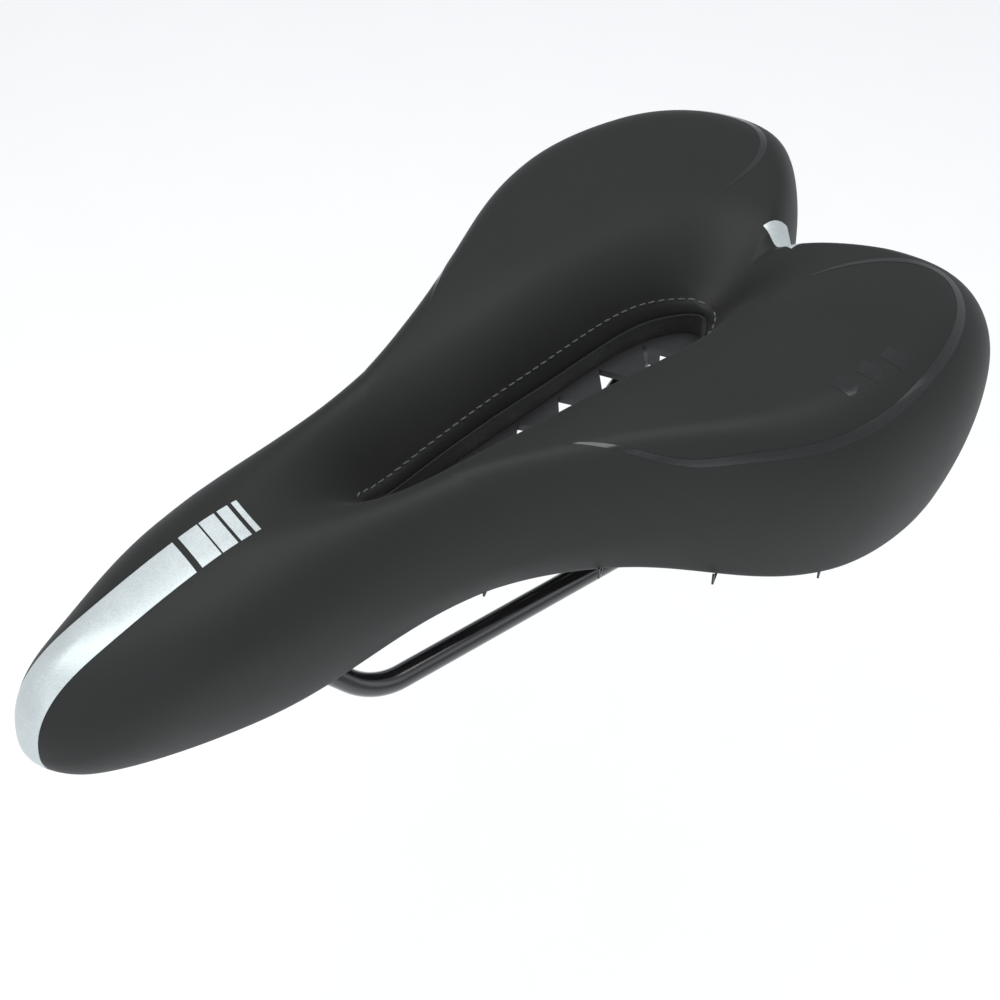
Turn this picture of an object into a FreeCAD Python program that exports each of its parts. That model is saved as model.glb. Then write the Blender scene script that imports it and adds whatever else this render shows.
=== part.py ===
"""Padded road saddle with a relief channel, on a one-piece steel hairpin rail.

Frame: +X to the nose, +Y to the rider's left, +Z up. The origin is midway between the two rails, at
the height of their centres, in the straight stretch that a seat post clamps. Millimetres.
"""
import FreeCAD, Part
import Sketcher
import math
import os
from bisect import bisect_right

Vector = FreeCAD.Vector
doc = FreeCAD.newDocument("saddle")

# ------------------------------------------------------------------ driving dimensions
DIMENSIONS = [
    ("rail_diameter", 7.0, "steel wire of the rail"),
    ("rail_spacing", 44.0, "between the centres of the two rails in the clamp"),
    ("rail_front", 68.3, "where the lines of the lower run and of the front rise cross"),
    ("rail_rear", -38.2, "where the lines of the lower run and of the rear rise cross"),
    ("rail_front_bend", 20.0, "centre-line radius of the bend at the front of the lower run"),
    ("rail_rear_bend", 26.0, "centre-line radius of the bend at its rear"),
    ("cover_skin", 1.3, "thickness of the cover"),
    ("soft_gap", 0.15, "clearance between the soft layers"),
    ("hem_flap", 5.0, "width of the cover turned under the base"),
    ("tuck", 6.0, "how far the skirt leans in from the widest line to the hem"),
    ("shell_wall", 2.4, "thickness of the base shell"),
    ("shell_inset", 8.8, "outline to the shell's outer wall"),
    ("shell_lip", 3.4, "width of the shell's foot"),
    ("lining_wall", 0.8, "thickness of the channel lining"),
    ("film", 0.3, "thickness of the printed films"),
    ("stripe_width", 12.4, "silver stripe and bars on the nose"),
    ("gel_length", 52.0, "gel insert, along the saddle"),
    ("gel_width", 34.0, "gel insert, across the saddle"),
    ("gel_height", 8.0, "gel insert, thickness"),
    ("vent_pitch", 15.5, "between the vents in the channel floor"),
    ("vent_count", 5, "vents in the channel floor"),
    ("staple_crown", 9.0, "length of a staple"),
    ("staple_wire", 0.6, "thickness of a staple"),
    ("stitch_length", 2.0, "one stitch of the channel seam"),
    ("stitch_thread", 0.55, "thread diameter"),
]
sheet = doc.addObject("Spreadsheet::Sheet", "Dimensions")
for row, (alias, value, note) in enumerate(DIMENSIONS, start=1):
    sheet.set(f"A{row}", alias)
    sheet.set(f"B{row}", str(value))
    sheet.setAlias(f"B{row}", alias)
    sheet.set(f"C{row}", note)
doc.recompute()
size = {alias: float(sheet.get(alias)) for alias, value, note in DIMENSIONS}

# ------------------------------------------------------------------ shape stations
# Half outline of the widest line, from the nose round the wing to the notch at the tail: x, y.
OUTLINE = [
    (162, 0), (157.5, 9), (146, 15.5), (124, 22), (98, 26.5), (74, 28), (50, 30), (27, 35.5),
    (5, 45), (-16, 56.5), (-37, 69), (-60, 76.5), (-82, 76), (-100, 72), (-114, 65),
    (-124.5, 54.5), (-128.5, 42), (-123.5, 29), (-113, 15.5), (-103, 5.5), (-99.5, 0)]
# Half rim of the relief channel's opening, front to rear: x, y.
RIM = [(54, 0), (47, 2.2), (35, 3.6), (5, 7), (-12, 8.6), (-35, 10.4), (-50, 9.4), (-60, 5.6), (-64, 0)]
# Heights and widths along the saddle: x, value.
CROWN = [(162, 50), (146, 52.5), (130, 57), (108, 64), (75, 69.5), (45, 71.5), (15, 72.5),
         (-15, 75.5), (-45, 76.5), (-75, 77), (-100, 75), (-128, 70.5)]
TROUGH_DEPTH = [(162, 0), (110, 0), (92, 0.6), (80, 3), (70, 8), (60, 16), (52, 22.5), (35, 24),
                (5, 23.5), (-12, 25), (-35, 24.5), (-50, 23.5), (-64, 22.5), (-72, 18),
                (-80, 12.5), (-90, 6.5), (-100, 4.5), (-128, 2)]
TROUGH_WIDTH = [(162, 12), (85, 12), (40, 13), (0, 14), (-60, 16), (-85, 20), (-100, 25), (-128, 30)]
WAIST = [(162, 25), (140, 29), (120, 37), (90, 40.5), (50, 39), (10, 42.5), (-30, 46.5),
         (-70, 46), (-100, 47), (-128, 48.5)]
HEM = [(162, 13), (140, 10), (110, 11), (80, 14), (50, 22), (20, 27.5), (-10, 26), (-40, 17.5),
       (-70, 12), (-95, 11.5), (-128, 20)]
SHOULDER = [(162, 22), (130, 25.5), (100, 27), (50, 23), (0, 22), (-50, 23), (-128, 20)]
PLATE = [(162, 31), (138, 34), (110, 37), (80, 39), (50, 40), (0, 41), (-40, 43.5), (-64, 45), (-128, 46)]
SPINE_FRONT = 138.0
SPINE_REAR = -76.0
ROUNDNESS = 2.2          # exponent of the shoulder's section; 2 is an ellipse
RIM_FRONT_SHARE = 0.375  # share of the outline ahead of the channel
RIM_REAR_SHARE = 0.90    # share of the outline ahead of the channel's rear end


def natural_spline(knots, values):
    """Natural cubic spline through the values, as a function that holds its end values outside."""
    count = len(knots)
    step = [knots[i + 1] - knots[i] for i in range(count - 1)]
    bend = [0.0] * count
    ratio = [0.0] * count
    for i in range(1, count - 1):
        slope = (values[i + 1] - values[i]) / step[i] - (values[i] - values[i - 1]) / step[i - 1]
        pivot = 2 * (step[i - 1] + step[i]) - step[i - 1] * ratio[i - 1]
        ratio[i] = step[i] / pivot
        bend[i] = (6 * slope - step[i - 1] * bend[i - 1]) / pivot
    for i in range(count - 2, 0, -1):
        bend[i] -= ratio[i] * bend[i + 1]

    def value_at(x):
        x = min(max(x, knots[0]), knots[-1])
        i = min(max(bisect_right(knots, x) - 1, 0), count - 2)
        before = x - knots[i]
        after = knots[i + 1] - x
        cubic = (bend[i] * after ** 3 + bend[i + 1] * before ** 3) / (6 * step[i])
        left = values[i] / step[i] - bend[i] * step[i] / 6
        right = values[i + 1] / step[i] - bend[i + 1] * step[i] / 6
        return cubic + left * after + right * before
    return value_at


def along(stations):
    """Function of x through a station list."""
    ordered = sorted(stations)
    return natural_spline([x for x, value in ordered], [value for x, value in ordered])


crown = along(CROWN)
trough_depth = along(TROUGH_DEPTH)
trough_width = along(TROUGH_WIDTH)
waist = along(WAIST)
hem = along(HEM)
shoulder = along(SHOULDER)
plate = along(PLATE)


def half_loop(points, samples=600):
    """Dense points of the symmetric smooth curve through a half outline, nose side first."""
    ahead = [(x, -y) for x, y in points[3:0:-1]]
    behind = [(x, -y) for x, y in points[-2:-5:-1]]
    whole = ahead + list(points) + behind
    knots = [0.0]
    for (x0, y0), (x1, y1) in zip(whole, whole[1:]):
        knots.append(knots[-1] + math.hypot(x1 - x0, y1 - y0) ** 0.5)
    curve_x = natural_spline(knots, [x for x, y in whole])
    curve_y = natural_spline(knots, [y for x, y in whole])
    first = knots[3]
    last = knots[3 + len(points) - 1]
    dense = []
    for i in range(samples + 1):
        t = first + (last - first) * i / samples
        dense.append((curve_x(t), max(0.0, curve_y(t))))
    dense[0] = (dense[0][0], 0.0)
    dense[-1] = (dense[-1][0], 0.0)
    return dense


def by_length(path):
    """Function from length along a polyline to its point, and the whole length."""
    lengths = [0.0]
    for (x0, y0), (x1, y1) in zip(path, path[1:]):
        lengths.append(lengths[-1] + math.hypot(x1 - x0, y1 - y0))

    def point_at(length):
        length = min(max(length, 0.0), lengths[-1])
        i = min(max(bisect_right(lengths, length) - 1, 0), len(path) - 2)
        part = (length - lengths[i]) / (lengths[i + 1] - lengths[i])
        return tuple(a + (b - a) * part for a, b in zip(path[i], path[i + 1]))
    return point_at, lengths[-1]


def linear(knots, values, x):
    """Piecewise linear interpolation."""
    i = min(max(bisect_right(knots, x) - 1, 0), len(knots) - 2)
    return values[i] + (values[i + 1] - values[i]) * (x - knots[i]) / (knots[i + 1] - knots[i])


rim_points = half_loop(RIM)
outline_at, outline_length = by_length(half_loop(OUTLINE))
inner_at, inner_length = by_length([(SPINE_FRONT, 0.0)] + rim_points + [(SPINE_REAR, 0.0)])
nose_spine = SPINE_FRONT - RIM[0][0]
rim_length = inner_length - nose_spine - (RIM[-1][0] - SPINE_REAR)
rim_end = nose_spine + rim_length
INNER_SHARES = [RIM_FRONT_SHARE, 0.43, 0.62, 0.80, RIM_REAR_SHARE, 1]
INNER_LENGTHS = [nose_spine, nose_spine + 12, nose_spine + 62, nose_spine + 0.78 * rim_length,
                 rim_end, inner_length]


def inner_point(share):
    """Where the section at a share of the outline starts, on the centre line or the rim."""
    if share < RIM_FRONT_SHARE:
        return inner_at(nose_spine * (share / RIM_FRONT_SHARE) ** 1.6)
    return inner_at(linear(INNER_SHARES, INNER_LENGTHS, share))


def rim_half_width(x):
    """Half width of the channel's opening at x, and 0 ahead of it and behind it."""
    if not RIM[-1][0] < x < RIM[0][0]:
        return 0.0
    for (x0, y0), (x1, y1) in zip(rim_points, rim_points[1:]):
        if x1 <= x <= x0:
            return y0 + (y1 - y0) * (x0 - x) / max(x0 - x1, 1e-9)
    return 0.0


def top_height(x, y):
    """Height of the padded top before its shoulders round off."""
    reach = max(y * y - rim_half_width(x) ** 2, -30.0)
    return crown(x) - trough_depth(x) * math.exp(-reach / trough_width(x) ** 2)


class Ruling:
    """One upright section plane, from the centre line or the channel's rim out to the outline."""

    def __init__(self, share, to_centre=False):
        self.outer = outline_at(share * outline_length)
        self.inner = inner_point(share)
        dx = self.outer[0] - self.inner[0]
        dy = self.outer[1] - self.inner[1]
        if to_centre and self.inner[1] > 0:
            self.inner = (self.inner[0] - dx * self.inner[1] / dy, 0.0)
            dx = self.outer[0] - self.inner[0]
            dy = self.outer[1]
        self.reach = math.hypot(dx, dy)
        self.way = (dx / self.reach, dy / self.reach)
        x = self.outer[0]
        self.waist = waist(x)
        self.hem = hem(x)
        self.shoulder = min(shoulder(x), 0.97 * self.reach)

    def plan(self, r):
        return self.inner[0] + self.way[0] * r, self.inner[1] + self.way[1] * r

    def point(self, r, z):
        x, y = self.plan(r)
        return Vector(x, y, z)

    def top(self, r, depth):
        """Height of the padded top at r, with the layers above it, depth thick, taken off."""
        step = 0.5
        low = top_height(*self.plan(max(r - step, 0.0)))
        high = top_height(*self.plan(r + step))
        slope = (high - low) / (r + step - max(r - step, 0.0))
        return top_height(*self.plan(r)) - depth * min(math.sqrt(1 + slope * slope), 2.2)

    def crest(self, width, flat, height, low, count):
        """Points from the inner end out to width, flat at first and then rounded down to height low."""
        points = []
        for step in range(count):
            r = width * math.sin(math.pi / 2 * step / (count - 1)) ** (2 / ROUNDNESS)
            across = max(r - flat, 0.0) / (width - flat)
            fall = max(1 - across ** ROUNDNESS, 0.0) ** (1 / ROUNDNESS)
            points.append(self.point(r, low + (height(r) - low) * fall))
        return points

    def skin(self, depth, bottom):
        """Section of the padded form, depth inside its outer surface, down to height bottom."""
        flat = self.reach - self.shoulder
        points = self.crest(self.reach - depth, flat, lambda r: self.top(r, depth), self.waist, 17)
        for step in (1, 2, 3, 4):
            part = step / 4
            r = self.reach - depth - size["tuck"] * part ** 2
            points.append(self.point(r, self.waist + (bottom - self.waist) * part))
        return points

    def tray(self, depth, bottom):
        """Section of the base shell, depth inside its outer surface, down to height bottom."""
        edge = self.reach - size["shell_inset"]
        bend = min(20.0, 0.96 * edge)
        foot = self.hem + 8.0
        points = self.crest(edge - depth, edge - bend, lambda r: plate(self.plan(r)[0]) - depth, foot, 12)
        for part in (0.5, 1.0):
            points.append(self.point(edge - depth, foot + (bottom - foot) * part))
        return points


def cover_height(x, y):
    """Height of the cover's outer surface above a point in plan."""
    low = 0.0
    high = 1.0
    for step in range(40):
        ruling = Ruling((low + high) / 2)
        dx = x - ruling.inner[0]
        dy = abs(y) - ruling.inner[1]
        if ruling.way[0] * dy > ruling.way[1] * dx:
            low = (low + high) / 2
        else:
            high = (low + high) / 2
    r = dx * ruling.way[0] + dy * ruling.way[1]
    across = max(r - ruling.reach + ruling.shoulder, 0.0) / ruling.shoulder
    fall = max(1 - across ** ROUNDNESS, 0.0) ** (1 / ROUNDNESS)
    return ruling.waist + (ruling.top(r, 0.0) - ruling.waist) * fall


def spline(points):
    """Smooth edge through the points, with the same knots on every section of a loft."""
    knots = [i / (len(points) - 1) for i in range(len(points))]
    curve = Part.BSplineCurve()
    curve.interpolate(Points=points, Parameters=knots)
    return curve.toShape()


def closed_section(upper, corners, lower):
    """Closed wire: the upper spline outwards, straight lines through corners, the lower spline back."""
    edges = [spline(upper)]
    chain = [upper[-1]] + corners + [lower[-1]]
    for a, b in zip(chain, chain[1:]):
        edges.append(Part.makeLine(a, b))
    edges.append(spline(lower[::-1]))
    edges.append(Part.makeLine(lower[0], upper[0]))
    return Part.Wire(edges)


def evenly(first, last, count):
    """Shares of the outline for the sections of one stretch, evenly spaced."""
    return [first + (last - first) * i / count for i in range(count + 1)]


NOSE_SHARES = evenly(0.0, RIM_FRONT_SHARE, 18)
CHANNEL_SHARES = evenly(RIM_FRONT_SHARE, RIM_REAR_SHARE, 26)
TAIL_SHARES = evenly(RIM_REAR_SHARE, 1.0, 6)


def mirrored(shape):
    return shape.mirror(Vector(0, 0, 0), Vector(0, 1, 0))


def sewn_solid(faces):
    """Solid from faces that meet edge to edge, with its volume counted as positive."""
    shell = Part.makeCompound(faces)
    shell.sewShape(1e-3)
    solid = Part.Solid(shell.Shells[0])
    if solid.Volume < 0:
        solid.reverse()
    return solid


def both_halves(section, stretches):
    """Solid sewn from the lofts through section(share) over each stretch and their mirror images."""
    faces = []
    for shares in stretches:
        half = Part.makeLoft([section(share) for share in shares], True, False)
        for face in half.Faces:
            end_cap = isinstance(face.Surface, Part.Plane)
            on_centre_plane = face.optimalBoundingBox(False, False).YMax < 1e-4
            if not end_cap and not on_centre_plane:
                faces += [face, mirrored(face)]
    return sewn_solid(faces)


WHOLE_WAY = [NOSE_SHARES, CHANNEL_SHARES, TAIL_SHARES]
skin_depth = size["cover_skin"]
foam_depth = skin_depth + size["soft_gap"]


def cover_section(share):
    ruling = Ruling(share)
    upper = ruling.skin(0.0, ruling.hem)
    lower = ruling.skin(skin_depth, ruling.hem + skin_depth)
    end = ruling.reach - size["tuck"] - size["hem_flap"]
    corners = [ruling.point(end, ruling.hem), ruling.point(end, ruling.hem + skin_depth)]
    return closed_section(upper, corners, lower)


def foam_section(share):
    ruling = Ruling(share)
    bottom = ruling.hem + skin_depth + size["soft_gap"]
    upper = ruling.skin(foam_depth, bottom)
    lower = ruling.tray(-size["soft_gap"], bottom)
    return closed_section(upper, [], lower)


def tray_section(share):
    ruling = Ruling(share, to_centre=True)
    bottom = ruling.hem + skin_depth + size["soft_gap"]
    wall = size["shell_wall"]
    foot = ruling.reach - size["shell_inset"] - size["shell_lip"]
    corners = [ruling.point(foot, bottom), ruling.point(foot, bottom + wall)]
    return closed_section(ruling.tray(0.0, bottom), corners, ruling.tray(wall, bottom + wall))


def under_plate_section(share):
    """Everything below the middle of the shell's wall: ribs and bosses are trimmed to it."""
    ruling = Ruling(share, to_centre=True)
    floor = 5.0
    upper = ruling.tray(size["shell_wall"] / 2, ruling.hem + 2.0)
    lower = [ruling.point((ruling.reach - size["shell_inset"]) * i / 4, floor) for i in range(5)]
    return closed_section(upper, [], lower)


def film_section(share):
    ruling = Ruling(share)
    bottom = ruling.hem + 2.0
    return closed_section(ruling.skin(-size["film"], bottom), [], ruling.skin(0.0, bottom))


# ------------------------------------------------------------------ rail
def rail_corners():
    """Corners of the rail's centre line and the bend radius at each, from the left end to the right."""
    half_gauge = size["rail_spacing"] / 2
    left = [
        (Vector(-94, 33, 33.5), 0.0),
        (Vector(size["rail_rear"], half_gauge, 0), size["rail_rear_bend"]),
        (Vector(size["rail_front"], half_gauge, 0), size["rail_front_bend"]),
        (Vector(90, 9.5, 22), 8.0),
        (Vector(104, 9.5, 22), 9.4),
    ]
    right = [(Vector(point.x, -point.y, point.z), radius) for point, radius in left[::-1]]
    return left + right


def rounded_path(corners):
    """Wire of straight runs joined by tangent arcs."""
    edges = []
    start = corners[0][0]
    for i in range(1, len(corners) - 1):
        corner, radius = corners[i]
        back = (corners[i - 1][0] - corner).normalize()
        onward = (corners[i + 1][0] - corner).normalize()
        turn = math.pi - back.getAngle(onward)
        trim = radius * math.tan(turn / 2)
        first = corner + back * trim
        last = corner + onward * trim
        inward = (back + onward).normalize()
        middle = corner + inward * (radius / math.cos(turn / 2) - radius)
        edges += [Part.makeLine(start, first), Part.Arc(first, middle, last).toShape()]
        start = last
    edges.append(Part.makeLine(start, corners[-1][0]))
    return Part.Wire(edges)


rail_path = rounded_path(rail_corners())


def tube_along(path, radius):
    first = path.Edges[0]
    start = first.valueAt(first.FirstParameter)
    section = Part.Wire(Part.makeCircle(radius, start, first.tangentAt(first.FirstParameter)))
    return path.makePipeShell([section], True, False)


def extended(path, extra):
    """The rail's path, carried on straight past both ends."""
    edges = path.Edges
    first_run = edges[0].valueAt(edges[0].FirstParameter) - edges[0].valueAt(edges[0].LastParameter)
    last_run = edges[-1].valueAt(edges[-1].LastParameter) - edges[-1].valueAt(edges[-1].FirstParameter)
    start = edges[0].valueAt(edges[0].FirstParameter)
    finish = edges[-1].valueAt(edges[-1].LastParameter)
    before = Part.makeLine(start + first_run.normalize() * extra, edges[0].valueAt(edges[0].LastParameter))
    after = Part.makeLine(edges[-1].valueAt(edges[-1].FirstParameter), finish + last_run.normalize() * extra)
    return Part.Wire([before] + edges[1:-1] + [after])


# ------------------------------------------------------------------ document objects
def feature(name, shape):
    """Document object that holds a free-form shape."""
    thing = doc.addObject("Part::Feature", name)
    thing.Label = name
    thing.Shape = shape
    return thing


def box(name, centre, lengths, turn=0.0, bound=None):
    """Box about a centre, turned about +Z; bound maps a property to a formula on the sheet."""
    thing = doc.addObject("Part::Box", name)
    thing.Length, thing.Width, thing.Height = lengths
    for prop, formula in (bound or {}).items():
        thing.setExpression(prop, formula)
    doc.recompute()
    rotation = FreeCAD.Rotation(Vector(0, 0, 1), turn)
    half = Vector(thing.Length.Value, thing.Width.Value, thing.Height.Value) * 0.5
    thing.Placement = FreeCAD.Placement(Vector(*centre) - rotation.multVec(half), rotation)
    return thing


def boolean(kind, name, base, tools):
    """Feature with the tools fused to the base, cut from it, or kept in common with it."""
    shapes = [tool.Shape for tool in tools]
    if kind == "fuse":
        result = base.Shape.fuse(shapes)
    elif kind == "cut":
        result = base.Shape.cut(shapes)
    else:
        result = base.Shape.common(shapes)
    return feature(name, result.Solids[0] if len(result.Solids) == 1 else result)


# Rail: one steel wire, both ends in the tail sockets, its loop in the nose pocket.
rails = feature("rails", tube_along(rail_path, size["rail_diameter"] / 2))
rail_fit = feature("rail_fit", tube_along(extended(rail_path, 4.0), size["rail_diameter"] / 2 + 0.1))
rail_room = feature("rail_room", tube_along(rail_path, size["rail_diameter"] / 2 + 1.2))

# Base shell: a tray under the foam, with vents in the channel's floor, ribs, pocket and sockets.
tray = feature("shell_tray", both_halves(tray_section, WHOLE_WAY))
under_plate = feature("under_plate", both_halves(under_plate_section, WHOLE_WAY))
rib_thickness = 2.0
rib_depth = 7.0
ribs = []
for x in (-102, -70, -50, -28, 26, 60, 80):
    top = plate(x)
    ribs.append(box(f"rib_across_{len(ribs)}", (x, 0, top), (rib_thickness, 130, 2 * rib_depth)))
for y in (-22, 22):
    ribs.append(box(f"rib_along_{len(ribs)}", (-62, y, plate(-62)), (76, rib_thickness, 2 * rib_depth)))
nose_pocket = box("nose_pocket", (102, 0, 29), (19, 30, 23))
tail_sockets = []
for side in (-1, 1):
    seat = Vector(-94, 33 * side, 33.5)
    knee = Vector(rail_corners()[1][0].x, size["rail_spacing"] / 2 * side, 0)
    way = (seat - knee).normalize()
    socket = doc.addObject("Part::Cylinder", f"tail_socket_{len(tail_sockets)}")
    socket.Radius = 6.5
    socket.Height = 27
    socket.Placement = FreeCAD.Placement(seat - way * 20, FreeCAD.Rotation(Vector(0, 0, 1), way))
    doc.recompute()
    tail_sockets.append(socket)
    tail_sockets.append(box(f"socket_web_{len(tail_sockets)}", (-90, 32.5 * side, 39), (26, 3, 12)))
bosses = []
for boss in [nose_pocket] + tail_sockets + ribs:
    bosses.append(boolean("common", boss.Name + "_trimmed", under_plate, [boss]))
notched_tray = boolean("cut", "notched_tray", tray, [rail_room])
vents = []
vent_count = int(size["vent_count"])
for i in range(vent_count):
    x = 14.0 - i * size["vent_pitch"]
    half_width = rim_half_width(x) - 1.6
    corners = [(x - 5.2, 0), (x, half_width), (x + 5.2, 0), (x, -half_width)]
    outline = Part.makePolygon([Vector(px, py, 20) for px, py in corners + corners[:1]])
    vents.append(feature(f"vent_{i}", Part.Face(outline).extrude(Vector(0, 0, 40))))
whole_shell = boolean("fuse", "whole_shell", notched_tray, bosses)
vented_shell = boolean("cut", "vented_shell", whole_shell, vents + [rail_fit])

# Staples: crowns under the turned hem, legs up into the shell's foot.
staple_solids = []
for share in (0.045, 0.13, 0.215, 0.30, 0.385, 0.47, 0.555, 0.64, 0.725, 0.81, 0.88, 0.95):
    ruling = Ruling(share)
    crown_length = size["staple_crown"]
    wire = size["staple_wire"]
    centre = ruling.point(ruling.reach - size["shell_inset"] - size["shell_lip"] / 2, ruling.hem - wire)
    parts = [Part.makeBox(wire, crown_length, wire, Vector(-wire / 2, -crown_length / 2, 0))]
    for end in (-crown_length / 2, crown_length / 2 - wire):
        parts.append(Part.makeBox(wire, wire, 4.0, Vector(-wire / 2, end, 0)))
    staple = parts[0].fuse(parts[1:]).removeSplitter()
    turn = math.degrees(math.atan2(ruling.way[1], ruling.way[0]))
    staple.Placement = FreeCAD.Placement(centre, FreeCAD.Rotation(Vector(0, 0, 1), turn))
    staple_solids += [staple.Solids[0], mirrored(staple).Solids[0]]
staples = feature("cover_staples", Part.makeCompound(staple_solids))
base_shell = boolean("cut", "base_shell", vented_shell, [staples])

# Cover: skin over the foam, its hem turned under the shell's foot and stapled.
cover_skin = feature("cover_skin", both_halves(cover_section, WHOLE_WAY))
cover = boolean("cut", "cover", cover_skin, [rail_room, staples])


# Gel inserts, in pockets of the foam under the sitting area.
def gel_pad(name, side):
    body = doc.addObject("PartDesign::Body", name)
    body.Label = name
    plane = next(item for item in body.Origin.OriginFeatures if item.Role == "XY_Plane")
    sketch = body.newObject("Sketcher::SketchObject", name + "_outline")
    sketch.AttachmentSupport = (plane, [""])
    sketch.MapMode = "FlatFace"
    radius = size["gel_width"] / 2
    run = size["gel_length"] / 2 - radius
    z_axis = Vector(0, 0, 1)
    quarter = math.pi / 2
    front_circle = Part.Circle(Vector(run, 0, 0), z_axis, radius)
    rear_circle = Part.Circle(Vector(-run, 0, 0), z_axis, radius)
    sketch.addGeometry(Part.ArcOfCircle(front_circle, -quarter, quarter), False)
    sketch.addGeometry(Part.ArcOfCircle(rear_circle, quarter, 3 * quarter), False)
    sketch.addGeometry(Part.LineSegment(Vector(run, radius, 0), Vector(-run, radius, 0)), False)
    sketch.addGeometry(Part.LineSegment(Vector(-run, -radius, 0), Vector(run, -radius, 0)), False)
    sketch.addConstraint(Sketcher.Constraint("Tangent", 0, 2, 2, 1))
    sketch.addConstraint(Sketcher.Constraint("Tangent", 2, 2, 1, 1))
    sketch.addConstraint(Sketcher.Constraint("Tangent", 1, 2, 3, 1))
    sketch.addConstraint(Sketcher.Constraint("Tangent", 3, 2, 0, 1))
    sketch.addConstraint(Sketcher.Constraint("Symmetric", 0, 3, 1, 3, -1, 1))
    sketch.addConstraint(Sketcher.Constraint("Horizontal", 2))
    bend = sketch.addConstraint(Sketcher.Constraint("Radius", 0, radius))
    sketch.setExpression(f"Constraints[{bend}]", "Dimensions.gel_width / 2")
    spread = sketch.addConstraint(Sketcher.Constraint("DistanceX", 1, 3, 0, 3, 2 * run))
    sketch.setExpression(f"Constraints[{spread}]", "Dimensions.gel_length - Dimensions.gel_width")
    pad = body.newObject("PartDesign::Pad", name + "_pad")
    pad.Profile = sketch
    pad.setExpression("Length", "Dimensions.gel_height")
    doc.recompute()
    body.Tip = pad
    body.Placement = FreeCAD.Placement(Vector(-64, 43 * side, 57), FreeCAD.Rotation(z_axis, -12 * side))
    return body


gel_pads = [gel_pad("gel_pad_left", 1), gel_pad("gel_pad_right", -1)]
foam_body = feature("foam_body", both_halves(foam_section, WHOLE_WAY))
foam_pad = boolean("cut", "foam_pad", foam_body, gel_pads)


# Channel lining: a thin wall inside the opening, from the shell's floor up to the cover's edge.
def moved_rim(inset):
    """Half rim moved inwards, from its front on the centre line to its rear: even points."""
    path = []
    for before, point, after in zip(rim_points, rim_points[1:], rim_points[2:]):
        dx = after[0] - before[0]
        dy = after[1] - before[1]
        shift = inset / math.hypot(dx, dy)
        moved = (point[0] - dy * shift, point[1] + dx * shift)
        if moved[1] > 0.02:
            path.append(moved)
    path = [(path[0][0], 0.0)] + path + [(path[-1][0], 0.0)]
    point_at, length = by_length(path)
    return [point_at(length * i / 60) for i in range(61)]


def lining_edges(inset):
    """Lower and upper edge of one face of the lining, along half the channel."""
    lower = []
    upper = []
    for x, y in moved_rim(inset):
        lower.append(Vector(x, y, plate(x) + size["soft_gap"]))
        upper.append(Vector(x, y, top_height(x, rim_half_width(x)) - 0.4))
    return spline(lower), spline(upper)


outer_low, outer_high = lining_edges(size["soft_gap"])
inner_low, inner_high = lining_edges(size["soft_gap"] + size["lining_wall"])
lining_faces = []
for edge, next_edge in ((outer_low, outer_high), (outer_high, inner_high),
                        (inner_high, inner_low), (inner_low, outer_low)):
    face = Part.makeRuledSurface(edge, next_edge)
    lining_faces += [face, mirrored(face)]
cutout_lining = feature("cutout_lining", sewn_solid(lining_faces))


# Seam stitches round the channel, lying on the cover beside its edge.
rim_at, rim_run = by_length(rim_points)
seam_inset = 1.6
stitch_pitch = 3.0


def seam_point(length, side):
    """Centre of the thread at a length round the half rim, a little way out from the edge."""
    x, y = rim_at(length)
    ahead = rim_at(length + 0.4)
    behind = rim_at(length - 0.4)
    along_x = ahead[0] - behind[0]
    along_y = ahead[1] - behind[1]
    norm = math.hypot(along_x, along_y)
    x += along_y / norm * seam_inset
    y -= along_x / norm * seam_inset
    step = 0.3
    slope = (top_height(x, y + step) - top_height(x, y - step)) / (2 * step)
    lift = (size["stitch_thread"] / 2 + 0.05) * math.sqrt(1 + slope * slope)
    return Vector(x, y * side, top_height(x, y) + lift)


stitch_solids = []
for i in range(1, int(rim_run / stitch_pitch)):
    for side in (-1, 1):
        start = seam_point(i * stitch_pitch - size["stitch_length"] / 2, side)
        finish = seam_point(i * stitch_pitch + size["stitch_length"] / 2, side)
        way = finish - start
        stitch_solids.append(Part.makeCylinder(size["stitch_thread"] / 2, way.Length, start, way))
cutout_stitching = feature("cutout_stitching", Part.makeCompound(stitch_solids))

# Printed films: patches of a thin layer that follows the cover.
film_layer = feature("film_layer", both_halves(film_section, WHOLE_WAY))
wing_sections = [film_section(share) for share in CHANNEL_SHARES]
film_wing = feature("film_wing", Part.makeLoft(wing_sections, True, False))


def centre_patch(name, x, z, lengths):
    """Film across the centre line, as wide as the stripe."""
    block = box(name + "_block", (x, 0, z), lengths, 0, {"Width": "Dimensions.stripe_width"})
    return boolean("common", name, film_layer, [block])


def nose_bar(name, x, length):
    """Short film across the centre line, laid on the crown of the nose."""
    half = size["stripe_width"] / 2
    lift = Vector(0, 0, size["film"])
    sections = []
    for i in range(5):
        station = x + length * (i / 4 - 0.5)
        across = [half * (j / 4 - 1) for j in range(9)]
        lower = [Vector(station, y, cover_height(station, y) + 0.03) for y in across]
        sections.append(closed_section([point + lift for point in lower], [], lower))
    return feature(name, Part.makeLoft(sections, True, False))


films = [
    centre_patch("nose_stripe", 138.4, 45, (60, 12.4, 50)),
    nose_bar("nose_bar_1", 103.7, 5.8),
    nose_bar("nose_bar_2", 98.0, 4.6),
    nose_bar("nose_bar_3", 93.2, 3.2),
    nose_bar("nose_bar_4", 89.6, 1.6),
    centre_patch("tail_tab", -94.4, 66, (9.6, 12.4, 16)),
]
for number, x in enumerate((-60.0, -69.0, -78.0), start=1):
    block = box(f"wing_mark_block_{number}", (x, 61.5, 74), (5.0, 7.0, 12), 24)
    films.append(boolean("common", f"wing_mark_{number}", film_wing, [block]))

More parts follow.
